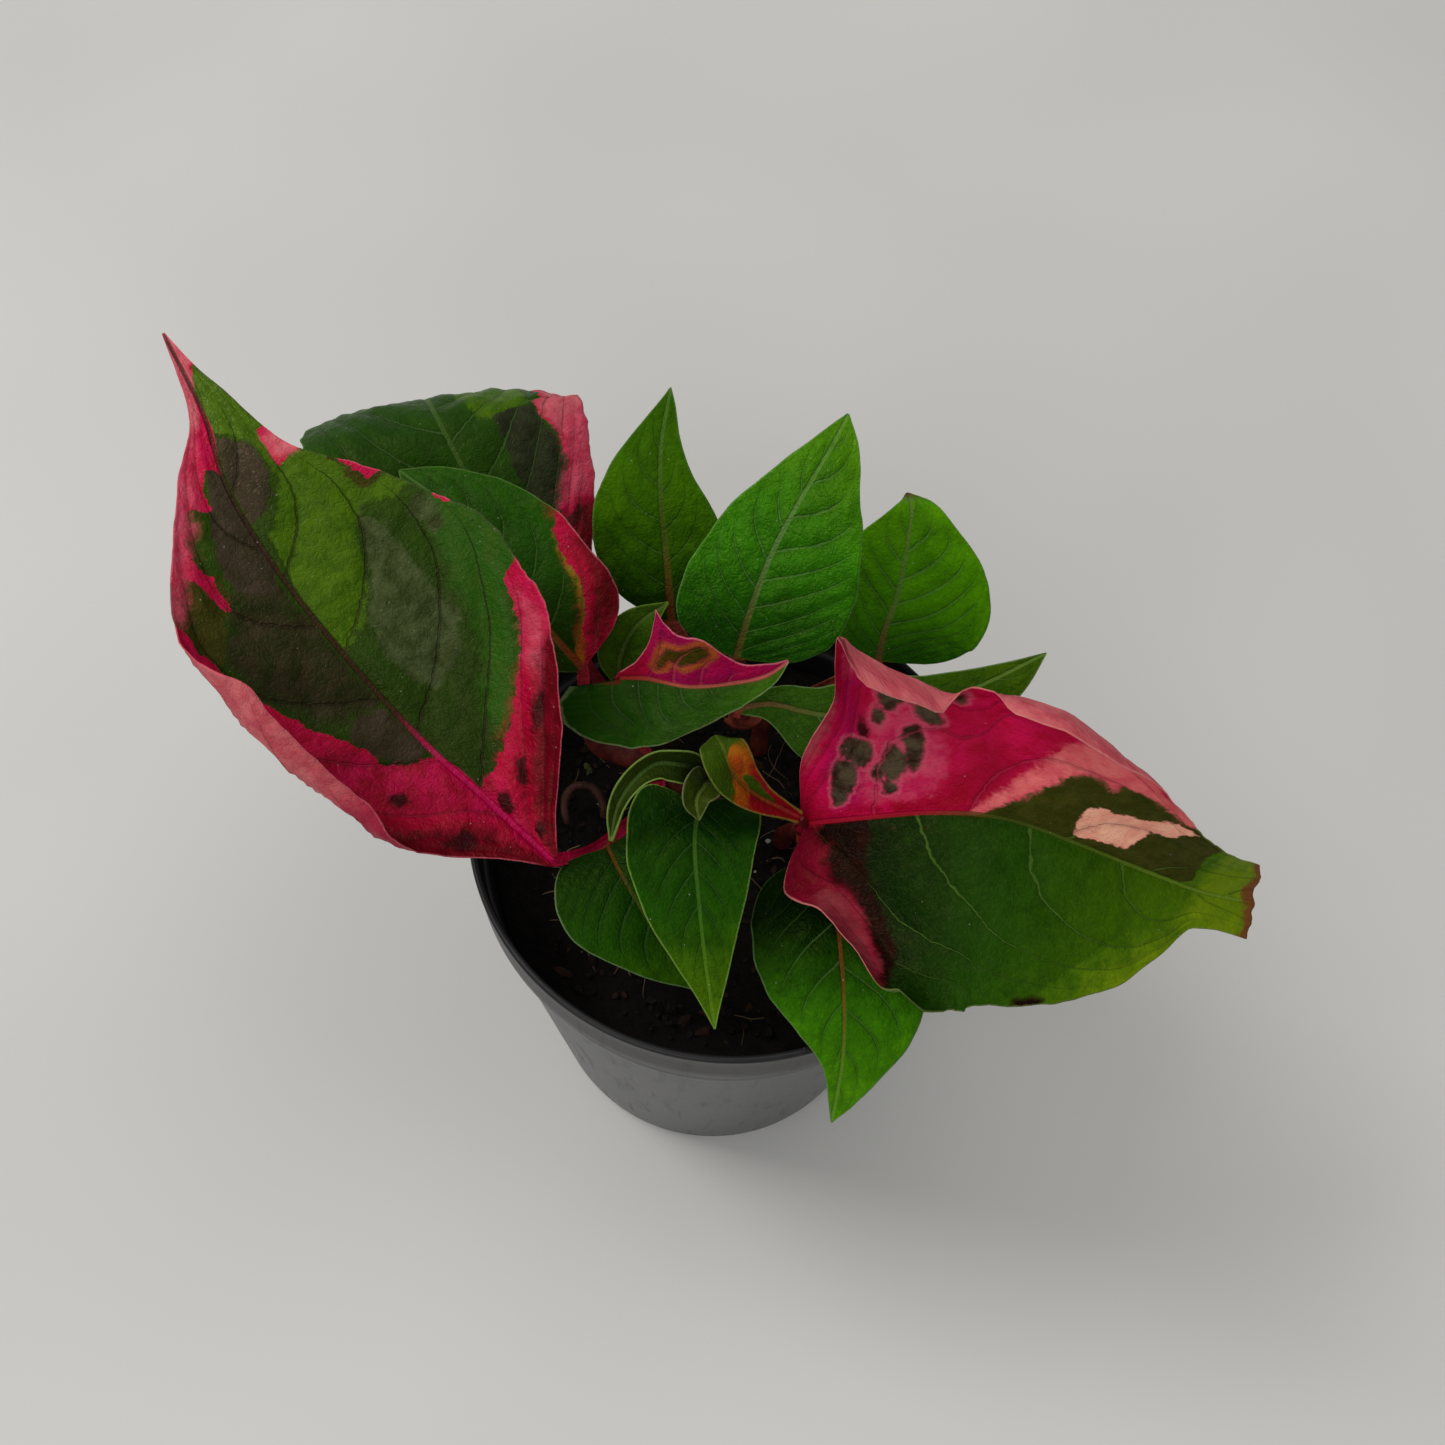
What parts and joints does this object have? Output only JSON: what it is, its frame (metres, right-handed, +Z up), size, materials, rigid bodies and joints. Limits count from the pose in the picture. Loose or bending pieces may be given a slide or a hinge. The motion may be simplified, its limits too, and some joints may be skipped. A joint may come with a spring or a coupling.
{
  "type": "potted foliage plant",
  "caption": "Small foliage plant with variegated pink and green leaves, rooted in dark soil in a round thin-wall nursery pot.",
  "frame": {"origin": "centre of the pot's flat underside, on the pot's axis", "axes": "+Z up along the pot's axis, +X to the right and +Y to the back, seen from the front, where the heart-shaped leaf hangs towards the viewer"},
  "size_m": [0.1288, 0.0891, 0.1002],
  "materials": {
    "pot": "satin",
    "soil": "matte",
    "stem": "matte",
    "root": "matte",
    "leaf_green": "satin",
    "leaf_variegated": "satin",
    "leaf_young": "satin"
  },
  "bodies": {
    "root": {"pot": "pot", "soil": "soil", "stem_left": "stem", "stem_centre": "stem", "stem_back": "stem", "stem_right": "stem", "root_loop": "root", "leaf_left_large": "leaf_variegated", "leaf_right_large": "leaf_variegated", "leaf_back_left": "leaf_variegated", "leaf_mid_left": "leaf_variegated", "leaf_centre_fold": "leaf_variegated", "leaf_tiny_back": "leaf_young", "leaf_curled": "leaf_young", "leaf_orange": "leaf_young", "leaf_apex_left": "leaf_young", "leaf_apex_right": "leaf_young", "leaf_back_centre": "leaf_green", "leaf_back_tall": "leaf_green", "leaf_back_right": "leaf_green", "leaf_right_under": "leaf_green", "leaf_front_heart": "leaf_green", "leaf_front_left": "leaf_green", "leaf_front_right": "leaf_green"}
  },
  "joints": []
}
